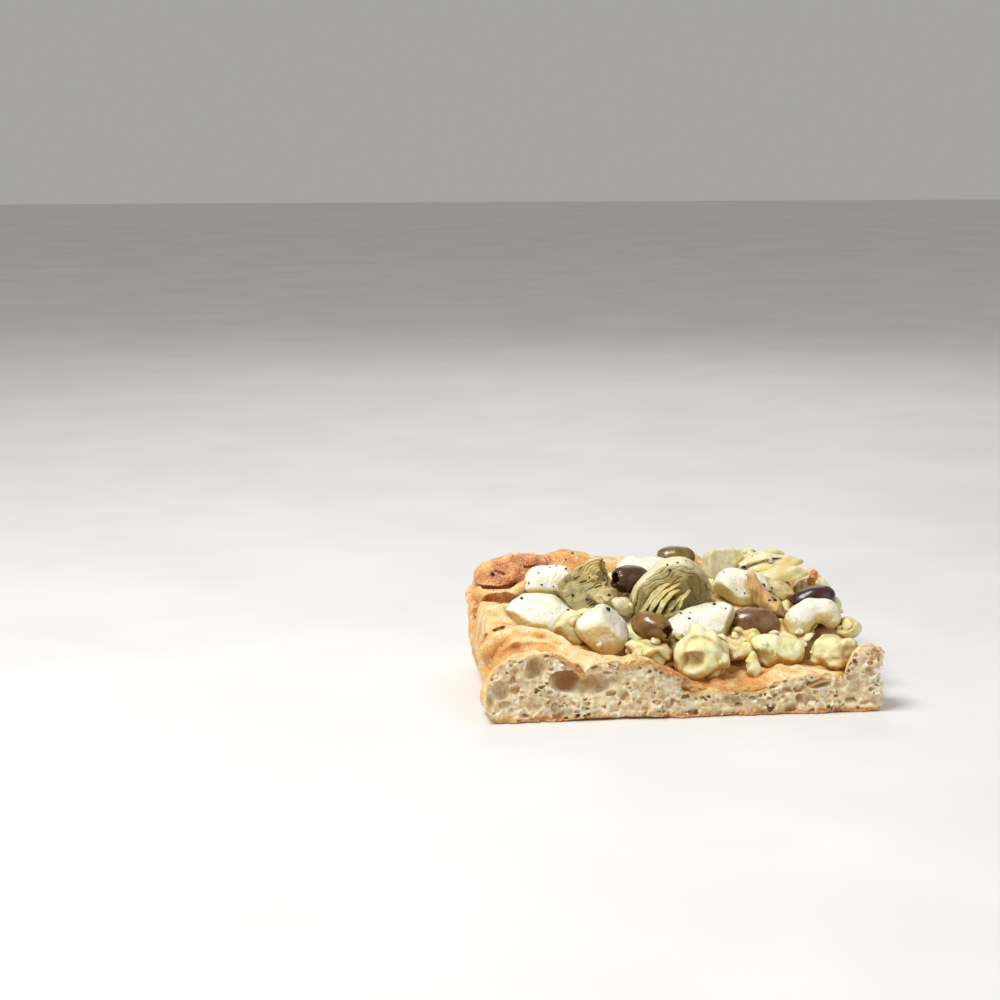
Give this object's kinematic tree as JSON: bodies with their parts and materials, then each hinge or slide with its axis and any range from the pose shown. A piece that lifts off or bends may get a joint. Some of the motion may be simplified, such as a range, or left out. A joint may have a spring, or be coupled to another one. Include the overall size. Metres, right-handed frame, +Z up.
{
  "type": "vegetable focaccia slice",
  "caption": "Rectangular slice of thick, airy focaccia with a browned rim on two sides and two cut sides, topped with crushed potato, mozzarella, artichoke hearts and pitted olives.",
  "frame": {"origin": "middle of the slice's outline, on the plane that it stands on", "axes": "+X along the front cut, from the browned left side to the right cut; +Y from the front cut to the browned back side; +Z up"},
  "size_m": [0.1386, 0.097, 0.0458],
  "materials": {
    "bread": "baked, matt crust over an open pale crumb",
    "potato": "soft, moist and crumbly",
    "mozzarella": "smooth and moist, half melted",
    "artichoke_leaf": "oiled, fibrous leaves",
    "artichoke_heart": "oiled, smooth flesh",
    "olive_brown": "glossy, oiled skin",
    "olive_dark": "glossy, oiled skin"
  },
  "bodies": {
    "root": {"bread": "bread", "potato_mash": "potato", "potato_mash_back": "potato", "potato_left": "potato", "potato_front_left": "potato", "potato_front_middle": "potato", "potato_drip": "potato", "potato_front_right": "potato", "potato_low_right": "potato", "potato_far_right": "potato", "potato_right": "potato", "potato_back": "potato", "potato_back_right": "potato", "mozzarella_left": "mozzarella", "mozzarella_back_left": "mozzarella", "mozzarella_front_left": "mozzarella", "mozzarella_back": "mozzarella", "mozzarella_middle": "mozzarella", "mozzarella_right_back": "mozzarella", "mozzarella_right": "mozzarella", "olive_front": "olive_brown", "olive_right": "olive_brown", "artichoke_left": "artichoke_leaf", "artichoke_middle": "artichoke_leaf", "artichoke_heart_back": "artichoke_heart", "artichoke_back_right": "artichoke_leaf", "artichoke_right": "artichoke_leaf", "artichoke_strip": "artichoke_heart", "artichoke_scrap": "artichoke_heart", "olive_left": "olive_dark", "olive_back": "olive_brown", "olive_far_right": "olive_dark"}
  },
  "joints": []
}
